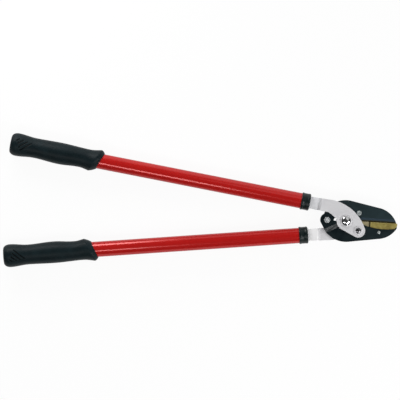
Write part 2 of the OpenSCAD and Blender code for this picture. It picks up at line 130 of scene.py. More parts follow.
def place_on(wire, stretch=(1, 1, 1), turn=0.0):
    """Object coordinates, turned about Z by degrees and then stretched."""
    here = wire.node("ShaderNodeTexCoord", {}, {}, out="Object")
    turned = wire.node("ShaderNodeVectorRotate", {"rotation_type": "Z_AXIS"},
                       {"Vector": here, "Angle": math.radians(turn)})
    return wire.node("ShaderNodeVectorMath", {"operation": "MULTIPLY"}, {0: turned, 1: stretch})


def speckle(wire, where, scale, detail=3.0, rough=0.55):
    """Noise from 0 to 1 with about scale spots in a metre."""
    return wire.node("ShaderNodeTexNoise", {},
                     {"Vector": where, "Scale": scale, "Detail": detail, "Roughness": rough})


def relief(wire, height, depth):
    """A normal for a height from 0 to 1, with depth in millimetres."""
    return wire.node("ShaderNodeBump", {},
                     {"Height": height, "Strength": 1.0, "Distance": depth * MM}, out="Normal")


def cad_copy(node):
    """A merged copy of a CAD node's mesh, flat faces whole again."""
    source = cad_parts[node].data
    shape = bmesh.new()
    corners = [shape.verts.new(v.co) for v in source.vertices]
    for face in source.polygons:
        shape.faces.new([corners[i] for i in face.vertices])
    bmesh.ops.remove_doubles(shape, verts=shape.verts, dist=WELD * MM)
    bmesh.ops.dissolve_limit(shape, angle_limit=math.radians(FLAT_WITHIN),
                             verts=shape.verts, edges=shape.edges)
    return shape


def hard_edges(shape, least=25):
    """Edges that fold by more than least degrees."""
    return [e for e in shape.edges
            if e.is_manifold and e.calc_face_angle(0) > math.radians(least)]


def bend_edges(shape, least):
    """Hard edges where a flat plate is bent: both faces look mostly up or down."""
    return [e for e in hard_edges(shape, least)
            if all(abs(f.normal.z) > 0.5 for f in e.link_faces)]


def soften(shape, edges, width, steps=3):
    """Rounds edges to a width in millimetres."""
    bmesh.ops.bevel(shape, geom=edges, offset=width * MM, offset_type="OFFSET", segments=steps,
                    profile=0.5, affect="EDGES", clamp_overlap=True)


def make_piece(shape, name, finish, sharp=40, flats=False):
    """Turns a shape into an object, smooth apart from its sharp edges."""
    mesh = bpy.data.meshes.new(name)
    shape.to_mesh(mesh)
    shape.free()
    mesh.shade_smooth()
    mesh.set_sharp_from_angle(angle=math.radians(sharp))
    mesh.materials.append(finish)
    made = bpy.data.objects.new(name, mesh)
    bpy.context.scene.collection.objects.link(made)
    if flats:
        even = made.modifiers.new("flat_faces", "WEIGHTED_NORMAL")
        even.keep_sharp = True
    return made


def assemble(made, body, slot, *nodes):
    """Puts a piece on its body, in the place of CAD nodes."""
    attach(made, body)
    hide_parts(*nodes)


def zinc_plate(name, turn, pale, dark, tang):
    """Satin zinc with rolling grain along the strip, faint clouds, and painted light
    on the tang behind the joggle: a paler tone there, with less metal, as if lit."""
    finish, wire = new_finish(name)
    grain = speckle(wire, place_on(wire, ROLLING_GRAIN, turn), 1.0, 4.0)
    clouds = speckle(wire, place_on(wire), 45, 3.0)
    flecks = speckle(wire, place_on(wire), 900, 2.0)
    tone = (grain * 0.35 + clouds * 0.45 + flecks * 0.2).rise(0.3, 0.7)
    ahead = wire.node("ShaderNodeSeparateXYZ", {}, {0: place_on(wire, turn=turn)}, out="X")
    # painted light: behind the joggle the tang is painted its own paler tone, near white on the
    # lower lever, with less metal
    behind = ahead.rise(TANG_LIGHT_FROM[1] * MM, TANG_LIGHT_FROM[0] * MM) * (0.8 + 0.2 * clouds)
    coat(wire, {
        "Base Color": behind.between(tone.between(dark, pale), tang),
        "Metallic": 0.25 - 0.2 * behind,
        "Roughness": 0.36 + 0.14 * grain + 0.08 * clouds,
        "Normal": relief(wire, grain * 0.7 + flecks * 0.3, 0.012),
    })
    return finish


for side, turn, tang in HANDLES:
    lever = cad_copy(side + "_lever")
    bends = bend_edges(lever, 20)
    outside = [e for e in bends if e.is_convex]
    soften(lever, [e for e in bends if e not in outside], LEVER_FOLD, 3)
    soften(lever, [e for e in outside if e.is_valid], LEVER_BEND, 5)
    soften(lever, hard_edges(lever, 50), LEVER_EDGE)
    zinc = zinc_plate(side + "_lever_zinc", turn, LEVER_PALE, LEVER_DARK, tang)
    assemble(make_piece(lever, side + "_lever_plate", zinc, 60, flats=True),
             side + "_handle", "lever", side + "_lever")


# ---------------------------------------------------------------------------
# The nylon plugs that fill the tubes round the tangs, and the steel pins that
# hold tang, plug and tube together. Turned or moulded plain, and hidden by
# the collars once the tool is together.
# ---------------------------------------------------------------------------

SIDES = ("lower", "upper")

nylon, wire = new_finish("natural_nylon")
mottle = speckle(wire, place_on(wire), 120)
coat(wire, {
    "Base Color": mottle.between((0.62, 0.6, 0.53, 1), (0.72, 0.7, 0.64, 1)),
    "Roughness": 0.42 + 0.12 * mottle,
    "Subsurface Weight": 0.1,
    "Subsurface Radius": (0.002, 0.002, 0.002),
    "Normal": relief(wire, mottle, 0.02),
})


def bright_zinc(name, tone):
    """Bright zinc of bought fasteners, with drawn lines and dull spots."""
    finish, wire = new_finish(name)
    spots = speckle(wire, place_on(wire), 420, 4.0)
    drawn = speckle(wire, place_on(wire, (1, 1, 14)), 500, 2.0)
    shade = (spots * 0.6 + drawn * 0.4).rise(0.3, 0.7)
    coat(wire, {
        "Base Color": shade.between([0.72 * t for t in tone] + [1], [*tone, 1]),
        "Metallic": 0.55,
        "Roughness": 0.24 + 0.2 * spots,
        "Normal": relief(wire, drawn, 0.006),
    })
    return finish


fastener_zinc = bright_zinc("fastener_zinc", (0.86, 0.89, 0.89))
for side in SIDES:
    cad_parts[side + "_sleeve"].material_slots[0].material = nylon
    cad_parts[side + "_tang_pin"].material_slots[0].material = fastener_zinc


# ---------------------------------------------------------------------------
# The handle tubes: 28 mm round steel tube with a 1.5 mm wall, cut to length
# and sprayed with a thick red gloss lacquer that keeps a slight orange peel.
# ---------------------------------------------------------------------------

LACQUER_DEEP, LACQUER_THIN = (0.47, 0.0095, 0.0085, 1), (0.57, 0.0135, 0.011, 1)

lacquer, wire = new_finish("red_lacquer")
peel = speckle(wire, place_on(wire), 160, 2.0)
depth = speckle(wire, place_on(wire), 28, 2.0)
dust = speckle(wire, place_on(wire), 1600, 1.0).rise(0.68, 0.8)
coat(wire, {
    "Base Color": (depth * 0.8 + dust * 0.2).between(LACQUER_DEEP, LACQUER_THIN),
    "Roughness": 0.17 + 0.06 * depth + 0.15 * dust,
    "Specular IOR Level": 0.08,
    "Metallic": 0.16,
    "Coat Weight": 0.118 - 0.05 * dust,
    "Coat Roughness": 0.16,
    "Coat IOR": 3.1,
    "Normal": relief(wire, peel * 0.8 + dust * 0.2, 0.002),
})
for side in SIDES:
    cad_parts[side + "_tube"].material_slots[0].material = lacquer


# ---------------------------------------------------------------------------
# The collars: moulded black plastic caps, pushed over the front ends of the
# tubes. Each has a lip at both ends, a chamfered nose, and a slot in its
# front wall where the lever's tang comes out.
# ---------------------------------------------------------------------------

REST = 20.6  # height of the tubes' axes over the bench
TUBE_OFFSET = 20.4
SOCKET_R = 14.03  # bore of what is pushed over a tube
COLLAR_FRONT, COLLAR_LENGTH, COLLAR_WALL = -70.5, 16.0, 2.97
COLLAR_R, COLLAR_WAIST_R, COLLAR_NOSE_R = 15.63, 15.15, 13.7
COLLAR_SIDES = 128
COLLAR_SKIN = (
    # distance behind the front and radius: nose, front lip, waist, rear lip, bore
    (0, COLLAR_NOSE_R), (0.25, 14.25), (1.0, 15.0),
    (1.6, 15.4), (2.2, 15.5), (3.1, 15.5), (3.6, 15.4),
    (4.0, COLLAR_WAIST_R), (12.1, COLLAR_WAIST_R),
    (12.5, 15.45), (13.0, COLLAR_R), (15.1, COLLAR_R), (15.6, 15.5), (15.9, 15.2),
    (COLLAR_LENGTH, 14.8), (COLLAR_LENGTH, SOCKET_R), (COLLAR_WALL, SOCKET_R),
)
SLOT_HALF = (10.78, 2.53)


def on_handle(side):
    """From millimetres along a tube to metres in the frame."""
    over = Matrix.Rotation(math.pi if side == "lower" else 0, 4, "X")
    return (Matrix.Scale(MM, 4) @ Matrix.Translation((0, 0, REST)) @ over
            @ Matrix.Rotation(math.radians(-HANDLE_ANGLE), 4, "Z")
            @ Matrix.Translation((0, TUBE_OFFSET, 0)))


def turn_profile(profile, sides, closed=False):
    """Turns (place along X, radius) points about X; returns the shape and its rings."""
    shape = bmesh.new()
    rings = []
    for x, r in profile:
        angles = [2 * math.pi * j / sides for j in range(sides if r else 1)]
        rings.append([shape.verts.new((x, r * math.cos(a), r * math.sin(a))) for a in angles])
    for one, two in zip(rings, rings[1:] + rings[:1] if closed else rings[1:]):
        for j in range(sides):
            k = (j + 1) % sides
            corners = [one[j % len(one)], two[j % len(two)], two[k % len(two)], one[k % len(one)]]
            corners = list(dict.fromkeys(corners))
            if len(corners) > 2:
                shape.faces.new(corners)
    return shape, rings


def slotted_wall(shape, rim, x):
    """Closes a ring with a wall that has the tang's slot, and gives the slot's corners."""
    corners = [shape.verts.new((x, y * SLOT_HALF[0], z * SLOT_HALF[1]))
               for y, z in ((-1, -1), (1, -1), (1, 1), (-1, 1))]
    edges = [shape.edges.new((corners[i], corners[i - 1])) for i in range(4)]
    edges += [shape.edges.get((rim[i], rim[i - 1])) for i in range(len(rim))]
    bmesh.ops.triangle_fill(shape, edges=edges, use_beauty=True, use_dissolve=False)
    return corners


plastic, wire = new_finish("collar_plastic")
mould = speckle(wire, place_on(wire), 1500, 2.0)
bloom = speckle(wire, place_on(wire), 90, 3.0)
coat(wire, {
    "Base Color": bloom.between((0.0015, 0.006, 0.006, 1), (0.0035, 0.012, 0.0115, 1)),
    "Roughness": 0.32 + 0.06 * bloom + 0.04 * mould,
    "Specular IOR Level": 0.32,
    "Normal": relief(wire, mould, 0.002),
})
for side in SIDES:
    profile = [(COLLAR_FRONT - back, r) for back, r in COLLAR_SKIN]
    collar, rings = turn_profile(profile, COLLAR_SIDES)
    front = slotted_wall(collar, rings[0], COLLAR_FRONT)
    back = slotted_wall(collar, rings[-1], COLLAR_FRONT - COLLAR_WALL)
    for i in range(4):
        collar.faces.new((front[i], front[i - 1], back[i - 1], back[i]))
    bmesh.ops.recalc_face_normals(collar, faces=collar.faces)
    collar.transform(on_handle(side))
    assemble(make_piece(collar, side + "_collar_cap", plastic, 50),
             side + "_handle", "collar", side + "_collar")


# ---------------------------------------------------------------------------
# The grips: moulded green-black rubber, pushed over the rear ends of the
# tubes. Flared butt, palm swell, a slanted finger guard in front, a parting
# line along both edges, and slanted anti-slip grooves on both faces.
# ---------------------------------------------------------------------------

GRIP_BUTT, GRIP_LENGTH, BUTT_END = -622.0, 165.0, 6.0
BUTT_RUN, BUTT_ROUND = 12.0, 7.0
BUTT_DISH = ((0.7, 8.5), (0.55, 9.4), (0.15, 10.2), (0, 10.9))
WAIST, BELLY, NECK, CREST = 44.55, 90.75, 136.125, 155.1
GRIP_R = [(BUTT_RUN, 20.6), (WAIST, 17.9), (BELLY, 19.5), (NECK, 17.4), (CREST, 20.4)]
RIM_R, RIM_MOUTH, GRIP_BOW = 15.0, (0.5, 0.35), 0.9
GUARD_SLANT, RIM_SLANT = math.tan(math.radians(24)), 0.37
GRIP_SIDES = 240
BUTT_STEPS, GROOVED_STEPS, PLAIN_STEPS, GUARD_STEPS = 18, 56, 26, 12
PARTING_LINE, PARTING_FROM = 0.14, 3


def ease(t):
    """0 to 1 with a soft start and end."""
    return (1 - math.cos(math.pi * min(max(t, 0), 1))) / 2


def grip_ring(shape, layers, d, r, slant=None):
    """One ring of the grip's skin, with its place on the skin kept for the grooves."""
    lean = GUARD_SLANT * ease((d - BELLY) / (NECK - BELLY)) if slant is None else slant
    bow = GRIP_BOW * (1 - ease((d - WAIST) / (BELLY - WAIST)))
    ring = []
    for j in range(GRIP_SIDES):
        a = 2 * math.pi * j / GRIP_SIDES
        at_line = j % (GRIP_SIDES // 2) == 0 and d > PARTING_FROM
        proud = r + (PARTING_LINE if at_line else 0)
        v = proud * math.cos(a)
        corner = shape.verts.new((GRIP_BUTT + d + lean * v, v + bow, proud * math.sin(a)))
        corner[layers[0]] = d
        corner[layers[1]] = r * math.asin(max(-1, min(1, math.cos(a))))
        ring.append(corner)
    return ring


def grip_shape():
    """The grip from its dished butt to the guard's rim, and back down its blind bore."""
    shape = bmesh.new()
    layers = [shape.verts.layers.float.new(name) for name in ("along", "across")]
    rings = [grip_ring(shape, layers, d, r) for d, r in BUTT_DISH]
    for i in range(BUTT_STEPS):
        a = math.pi / 2 * i / BUTT_STEPS
        rings.append(grip_ring(shape, layers, BUTT_RUN * (1 - math.cos(a)),
                               GRIP_R[0][1] - BUTT_ROUND * (1 - math.sin(a))))
    for (d0, r0), (d1, r1) in zip(GRIP_R, GRIP_R[1:]):
        steps = GROOVED_STEPS if d0 < WAIST else PLAIN_STEPS
        for i in range(steps):
            t = i / steps
            swell = ease(t) if d1 < CREST else 0.4 * ease(t) + 0.6 * t ** 2.2
            rings.append(grip_ring(shape, layers, d0 + (d1 - d0) * t, r0 + (r1 - r0) * swell))
    for i in range(GUARD_STEPS + 1):
        t = i / GUARD_STEPS
        rings.append(grip_ring(shape, layers, CREST + (GRIP_LENGTH - CREST) * t ** 0.9,
                               GRIP_R[-1][1] + (RIM_R - GRIP_R[-1][1]) * t ** 1.35,
                               GUARD_SLANT + (RIM_SLANT - GUARD_SLANT) * t))
    rings.append(grip_ring(shape, layers, GRIP_LENGTH, SOCKET_R + RIM_MOUTH[1], RIM_SLANT))
    rings.append(grip_ring(shape, layers, GRIP_LENGTH - RIM_MOUTH[0], SOCKET_R, RIM_SLANT))
    bottom = GRIP_BUTT + BUTT_END
    angles = [2 * math.pi * j / GRIP_SIDES for j in range(GRIP_SIDES)]
    rings.append([shape.verts.new((bottom, SOCKET_R * math.cos(a), SOCKET_R * math.sin(a)))
                  for a in angles])
    for one, two in zip(rings, rings[1:]):
        for j in range(GRIP_SIDES):
            k = (j + 1) % GRIP_SIDES
            shape.faces.new((one[j], two[j], two[k], one[k]))
    for ring in (rings[0], rings[-1]):
        shape.faces.new(ring)
    bmesh.ops.recalc_face_normals(shape, faces=shape.faces)
    return shape


def new_tree(name, sizes):
    """A Geometry Nodes tree with named sizes; returns it with the wires of its inputs."""
    tree = bpy.data.node_groups.new(name, "GeometryNodeTree")
    tree.interface.new_socket(name="Geometry", in_out="INPUT", socket_type="NodeSocketGeometry")
    for size in sizes:
        tree.interface.new_socket(name=size, in_out="INPUT", socket_type="NodeSocketFloat")
    tree.interface.new_socket(name="Finish", in_out="INPUT", socket_type="NodeSocketMaterial")
    tree.interface.new_socket(name="Geometry", in_out="OUTPUT", socket_type="NodeSocketGeometry")
    inputs = tree.nodes.new("NodeGroupInput")
    return tree, {s.name: Wire(tree, s) for s in inputs.outputs if s.name}


def end_tree(wire, geometry, finish):
    """Ends a tree with real geometry in its finish."""
    real = wire.node("GeometryNodeRealizeInstances", {}, {0: geometry})
    dressed = wire.node("GeometryNodeSetMaterial", {}, {"Geometry": real, "Material": finish})
    wire.node("NodeGroupOutput", {}, {0: dressed})


def grown(made, tree, sizes, finish):
    """The plain mesh that a tree makes of an object, with the tree taken off again."""
    work = made.modifiers.new(tree.name, "NODES")
    work.node_group = tree
    sockets = {s.name: s.identifier for s in tree.interface.items_tree if s.in_out == "INPUT"}
    for name, value in sizes.items():
        work[sockets[name]] = value
    work[sockets["Finish"]] = finish
    ready = made.evaluated_get(bpy.context.evaluated_depsgraph_get())
    mesh = bpy.data.meshes.new_from_object(ready)
    made.modifiers.remove(work)
    return mesh


GROOVE_SIZES = {
    "First along": 13.2, "First across": 9.4, "Slant": math.radians(42),
    "Pitch": 6.2, "Shift": 1.3, "Shortest half": 2.6, "Growth": 3.1, "Count": 4.0,
    "Width": 3.2, "Depth": 1.2,
}
GROOVE_WALL = (0.08, 0.5)  # where its side starts and ends, as parts of the width
groove_tree, size = new_tree("grip_grooves", GROOVE_SIZES)
start = size["Geometry"]
along = start.node("GeometryNodeInputNamedAttribute", {"data_type": "FLOAT"}, {"Name": "along"})
across = start.node("GeometryNodeInputNamedAttribute", {"data_type": "FLOAT"}, {"Name": "across"})
ahead, aside = along - size["First along"], across - size["First across"]
cosine, sine = start.sum("COSINE", size["Slant"]), start.sum("SINE", size["Slant"])
run, step = ahead * cosine + aside * sine, ahead * sine - aside * cosine
nearest = start.sum("ROUND", step / size["Pitch"])
number = start.sum("MINIMUM", start.sum("MAXIMUM", nearest, 0.0), size["Count"] - 1.0)
off = step - number * size["Pitch"]
past = start.sum("MAXIMUM", start.sum("ABSOLUTE", run - number * size["Shift"])
                 - (size["Shortest half"] + number * size["Growth"]), 0.0)
reach = start.sum("SQRT", off * off + past * past)
sunk = 1.0 - (reach / size["Width"]).rise(*GROOVE_WALL)
outward = start.node("GeometryNodeInputNormal", {}, {})
push = start.node("ShaderNodeVectorMath", {"operation": "SCALE"},
                  {0: outward, "Scale": sunk * size["Depth"] * -MM})
kept = start.node("GeometryNodeStoreNamedAttribute", {"data_type": "FLOAT", "domain": "POINT"},
                  {"Geometry": start, "Name": "groove", "Value": sunk})
cut = start.node("GeometryNodeSetPosition", {}, {"Geometry": kept, "Offset": push})
end_tree(start, cut, size["Finish"])

rubber, wire = new_finish("grip_rubber")
stipple = wire.node("ShaderNodeTexVoronoi", {"feature": "SMOOTH_F1"},
                    {"Vector": place_on(wire), "Scale": 900.0, "Smoothness": 0.6}, out="Distance")
skin = speckle(wire, place_on(wire), 60, 4.0)
lint = speckle(wire, place_on(wire), 700, 2.0)
groove = wire.node("ShaderNodeAttribute", {"attribute_name": "groove"}, {}, out="Fac")
tone = (skin * 0.7 + lint * 0.3).rise(0.3, 0.72)
rubber_tone_or_edge_shade = tone.between((0.003, 0.008, 0.01, 1), (0.006, 0.0145, 0.0175, 1))
coat(wire, {
    # painted shade: the grooves are painted near black, standing in for the shade that falls in
    # them
    "Base Color": groove.between(rubber_tone_or_edge_shade, (0.001, 0.0015, 0.002, 1)),
    "Roughness": 0.42 + 0.14 * skin + 0.2 * groove,
    "Specular IOR Level": 0.13,
    "Normal": relief(wire, stipple, 0.04),
})
for side in SIDES:
    shape = grip_shape()
    shape.transform(on_handle(side))
    grip = make_piece(shape, side + "_grip_rubber", rubber, 70)
    grip.data = grown(grip, groove_tree, GROOVE_SIZES, rubber)
    grip.data.name = side + "_grip_rubber"
    assemble(grip, side + "_handle", "grip", side + "_grip")


# ---------------------------------------------------------------------------
# The handle pivot: a polished bolt with a domed head, two washers, a bush
# between the levers and a lock nut with a nylon ring underneath. The bolt's
# threaded end stands on the bench.
# ---------------------------------------------------------------------------

PIVOT_R, PIVOT_DOME_R, PIVOT_DOME_H = 5.0, 8.5, 3.2
PIVOT_HEAD, PIVOT_END = 9.33, -20.6
PIVOT_POINT, PIVOT_RUNOUT = (0.35, 0.9), 0.5  # height and width of its end's chamfer; run-out
PIVOT_THREAD_TOP, PIVOT_PITCH, PIVOT_THREAD = -17.4, 1.5, 0.55
PIVOT_THREAD_LOW, PIVOT_THREAD_RUN = 0.75, 2.4
RIDGE_SINK, RIDGE_R = 0.45, 0.62  # of a thread's ridge, as parts of its depth
PIVOT_WASHER_R, PIVOT_WASHER_T, PIVOT_WASHER_BORE = 10.25, 2.0, 5.08
LEVERS_OUT = 7.3  # outer faces of the levers, either way from the middle
PIVOT_NUT_EDGE = 0.22


def upright(x, y, flip=False):
    """From a shape turned about X, in millimetres, to one that stands at a place in the plan."""
    stand = Matrix.Rotation(math.radians(90 if flip else -90), 4, "Y")
    return Matrix.Scale(MM, 4) @ Matrix.Translation((x, y, REST)) @ stand


def dome_points(base, radius, height, steps=22, roll=0.3):
    """Profile of a shallow dome from its rim, just rolled over, to its crown."""
    ball = (radius ** 2 + height ** 2) / (2 * height)
    rim = math.asin(radius / ball)
    points = [(base, radius - roll), (base + 0.08, radius - 0.1), (base + roll, radius - 0.03)]
    for i in range(1, steps + 1):
        a = rim * (1 - i / steps)
        level = base + height - ball * (1 - math.cos(a))
        if level > base + 2 * roll:
            points.append((level, ball * math.sin(a)))
    points[-1] = (base + height, 0)
    return points


def turned_piece(points, place, name, finish, sides=96, closed=False, extra=None):
    """A piece turned from a profile, with any extra mesh joined to it."""
    shape, _ = turn_profile(points, sides, closed)
    bmesh.ops.recalc_face_normals(shape, faces=shape.faces)
    shape.transform(place)
    if extra:
        shape.from_mesh(extra)
    return make_piece(shape, name, finish, 35)


def washer_points(outer, bore, low, thick, edge=0.25, mouth=0.15):
    """Profile of a washer with rounded outer edges and a broken inner one on top."""
    top = low + thick
    curve = edge * 0.35, edge * 0.3
    return [(low, bore), (low, outer - edge), (low + curve[0], outer - curve[1]),
            (low + edge, outer), (top - edge, outer), (top - curve[0], outer - curve[1]),
            (top, outer - edge), (top, bore + mouth), (top - mouth, bore)]


THREAD_SIZES = ("Radius", "Pitch", "Length", "Depth", "X", "Y", "Z")
thread_tree, size = new_tree("bolt_thread", THREAD_SIZES)
start = size["Geometry"]
turns = size["Length"] / size["Pitch"]
middle = size["Radius"] - size["Depth"] * RIDGE_SINK
helix = start.node("GeometryNodeCurveSpiral", {}, {
    "Resolution": 64, "Rotations": turns, "Start Radius": middle, "End Radius": middle,
    "Height": size["Length"]})
ridge = start.node("GeometryNodeCurvePrimitiveCircle", {"mode": "RADIUS"},
                   {"Resolution": 5, "Radius": size["Depth"] * RIDGE_R})
thread = start.node("GeometryNodeCurveToMesh", {},
                    {"Curve": helix, "Profile Curve": ridge, "Fill Caps": True})
spot = start.node("ShaderNodeCombineXYZ", {}, {"X": size["X"], "Y": size["Y"], "Z": size["Z"]})
stood = start.node("GeometryNodeTransform", {}, {"Geometry": thread, "Translation": spot})
end_tree(start, stood, size["Finish"])


def rolled_thread(finish, **sizes):
    """Mesh of a rolled thread; sizes in millimetres."""
    blank = bpy.data.objects.new("thread_blank", bpy.data.meshes.new("thread_blank"))
    bpy.context.scene.collection.objects.link(blank)
    mesh = grown(blank, thread_tree, {k: v * MM for k, v in sizes.items()}, finish)
    bpy.data.objects.remove(blank)
    return mesh


def bare_steel(name, dull, bright, rough):
    """Bare steel with a little haze and hairline scratches."""
    finish, wire = new_finish(name)
    haze = speckle(wire, place_on(wire), 300, 3.0)
    hairs = speckle(wire, place_on(wire, (1, 9, 9), 30), 900, 2.0).rise(0.55, 0.7)
    coat(wire, {
        "Base Color": haze.between(dull, bright),
        "Metallic": 1.0,
        "Roughness": rough + 0.06 * haze + 0.05 * hairs,
        "Normal": relief(wire, hairs, 0.0015),
    })
    return finish


polish = bare_steel("polished_steel", (0.78, 0.79, 0.8, 1), (0.9, 0.9, 0.91, 1), 0.07)

thread = rolled_thread(polish, Radius=PIVOT_R, Pitch=PIVOT_PITCH, Depth=PIVOT_THREAD, X=0, Y=0,
                       Length=PIVOT_THREAD_RUN, Z=REST + PIVOT_END + PIVOT_THREAD_LOW)
core = PIVOT_R - PIVOT_THREAD
pivot_bolt = turned_piece(
    [(PIVOT_END, 0), (PIVOT_END, PIVOT_R - PIVOT_POINT[1]), (PIVOT_END + PIVOT_POINT[0], core),
     (PIVOT_THREAD_TOP, core), (PIVOT_THREAD_TOP + PIVOT_RUNOUT, PIVOT_R), (PIVOT_HEAD, PIVOT_R)]
    + dome_points(PIVOT_HEAD, PIVOT_DOME_R, PIVOT_DOME_H),
    upright(0, 0), "pivot_bolt_domed", polish, extra=thread)
assemble(pivot_bolt, "lower_handle", "polished", "pivot_bolt")

washer_zinc = zinc_plate("washer_zinc", 0, (0.74, 0.735, 0.75, 1), (0.64, 0.635, 0.655, 1),
                         (0.7, 0.7, 0.72, 1))
for name, low in (("pivot_head_washer", LEVERS_OUT),
                  ("pivot_nut_washer", -LEVERS_OUT - PIVOT_WASHER_T)):
    ring = turned_piece(washer_points(PIVOT_WASHER_R, PIVOT_WASHER_BORE, low, PIVOT_WASHER_T),
                        upright(0, 0), name + "_turned", washer_zinc, closed=True)
    assemble(ring, "lower_handle", "plated", name)

nut = cad_copy("pivot_nut")
soften(nut, hard_edges(nut, 35), PIVOT_NUT_EDGE, 2)
assemble(make_piece(nut, "pivot_lock_nut", fastener_zinc, 35, flats=True),
         "lower_handle", "plated", "pivot_nut")

blue_nylon, wire = new_finish("lock_ring_nylon")
mottle = speckle(wire, place_on(wire), 500)
coat(wire, {
    "Base Color": mottle.between((0.008, 0.025, 0.075, 1), (0.014, 0.04, 0.11, 1)),
    "Roughness": 0.35 + 0.15 * mottle,
    "Normal": relief(wire, mottle, 0.02),
})
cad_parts["pivot_nut_ring"].material_slots[0].material = blue_nylon
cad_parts["pivot_spacer"].material_slots[0].material = fastener_zinc


# ---------------------------------------------------------------------------
# The blade: 4 mm tool steel, ground on both faces to the cutting edge and
# finished with a baked slate-black coating. Its tail carries a wide eye for
# the jaw hinge, and its rivet is peened flush in the face.
# ---------------------------------------------------------------------------

CUT_LINE, BEVEL_START, BEVEL_W = 1.03, 27.0, 7.0
# painted sheen: the bluish tone of the ground bevel stands in for its reflection
BEVEL_BLUR, BEVEL_SHEEN_TONE = 0.15, (0.019, 0.036, 0.052, 1)
# painted shade: a dark olive band along the cutting edge, for the shade and brass-coloured
# reflection where the blade closes on the bar
EDGE_SHADE_TO, EDGE_SHADE_FROM, EDGE_SHADE_TONE = 3.4, 2.2, (0.026, 0.022, 0.006, 1)
# painted sheen: the coating is painted paler along X, from the first place to the second
SHEEN_FROM, SHEEN_TO = -10, 55
JAW_EDGE = 0.35
NEAR = 0.02  # how close a corner lies to the line or face that it is on


def jaw_black(name, pale, dark, ground):
    """Baked black coating: cloudy tone, fine grit, and grinding lines on the bevel,
    with painted light: a painted sheen that grows paler towards the tip, a bluish
    painted sheen on the bevel, and a dark olive band of painted shade along the
    cutting edge.
    """
    finish, wire = new_finish(name)
    clouds = speckle(wire, place_on(wire), 55, 4.0)
    grit = speckle(wire, place_on(wire), 1300, 3.0)
    across = wire.node("ShaderNodeSeparateXYZ", {}, {0: place_on(wire)}, out="Y")
    along = wire.node("ShaderNodeSeparateXYZ", {}, {0: place_on(wire)}, out="X")
    lines = speckle(wire, place_on(wire, (1, 0.06, 0.06)), 1100, 2.0)
    top = CUT_LINE + BEVEL_W
    bevel = (across.rise((top + BEVEL_BLUR) * MM, (top - BEVEL_BLUR) * MM)
             * along.rise((BEVEL_START - 0.3) * MM, BEVEL_START * MM)
             * across.rise((CUT_LINE - 0.4) * MM, CUT_LINE * MM) * ground)
    # painted shade along the cutting edge, tinted like the brass bar
    rubber_tone_or_edge_shade = across.rise((CUT_LINE + EDGE_SHADE_TO) * MM, (CUT_LINE + EDGE_SHADE_FROM) * MM) * bevel
    mottled = (clouds * 0.75 + grit * 0.25).rise(0.3, 0.7)
    # painted sheen: paler towards the tip
    tone = (mottled + along.rise(SHEEN_FROM * MM, SHEEN_TO * MM)) * 0.5
    # painted sheen on the bevel
    face = bevel.between(tone.between(dark, pale), BEVEL_SHEEN_TONE)
    coat(wire, {
        "Base Color": rubber_tone_or_edge_shade.between(face, EDGE_SHADE_TONE),
        "Roughness": 0.27 + 0.1 * clouds - bevel * (0.05 - 0.1 * lines),
        "Specular IOR Level": 0.28,
        "Normal": relief(wire, grit * (1 - bevel) * 0.5 + lines * bevel * 0.5, 0.012),
    })
    return finish


def on_cutting_edge(edge):
    """Whether an edge of the blade is the ground one, which stays sharp."""
    return all(abs(v.co.y - CUT_LINE * MM) < NEAR * MM and v.co.x > (BEVEL_START - 1) * MM
               for v in edge.verts)


blade = cad_copy("blade")
soften(blade, [e for e in hard_edges(blade, 50) if not on_cutting_edge(e)], JAW_EDGE, 2)
blade_black = jaw_black("blade_black", (0.019, 0.034, 0.039, 1), (0.0105, 0.0175, 0.019, 1), 1.0)
assemble(make_piece(blade, "blade_plate", blade_black, 12, flats=True), "blade", "jaw", "blade")

FIT = 0.03  # clearance between pieces that touch
RIVET_R, RIVET_DOME_R, RIVET_DOME_H, RIVET_HEAD = 3.25, 5.3, 2.0, 8.83
RIVET_FLARE_R, RIVET_FLARE_H, RIVET_FLARE_EDGE = 4.55, 1.2, 0.1
PUNCH_HOLLOW = ((0.55, 0), (0.5, 1.3), (0.2, 2.2), (0, 2.8))
PEENED_DEPTH = 0.6
JAW_HALF = 2.0
JAW_WASHER_R, JAW_WASHER_T = 8.0, 1.5
PIVOT_AHEAD = 23.0
JAW_PIVOTS = (
    # body, rivet, washer, place across, head behind
    ("blade", "blade_rivet", "blade_washer", 16.0, True),
    ("anvil_jaw", "anvil_rivet", "anvil_washer", -16.0, False),
)

peened, wire = new_finish("peened_steel")
dents = speckle(wire, place_on(wire), 520, 3.0).rise(0.3, 0.7)
coat(wire, {
    "Base Color": dents.between((0.15, 0.18, 0.185, 1), (0.55, 0.59, 0.58, 1)),
    "Metallic": 0.5,
    "Roughness": 0.35 + 0.2 * dents,
    "Normal": relief(wire, dents, 0.05),
})
rivet_steel = bare_steel("rivet_steel", (0.15, 0.15, 0.16, 1), (0.22, 0.22, 0.23, 1), 0.18)


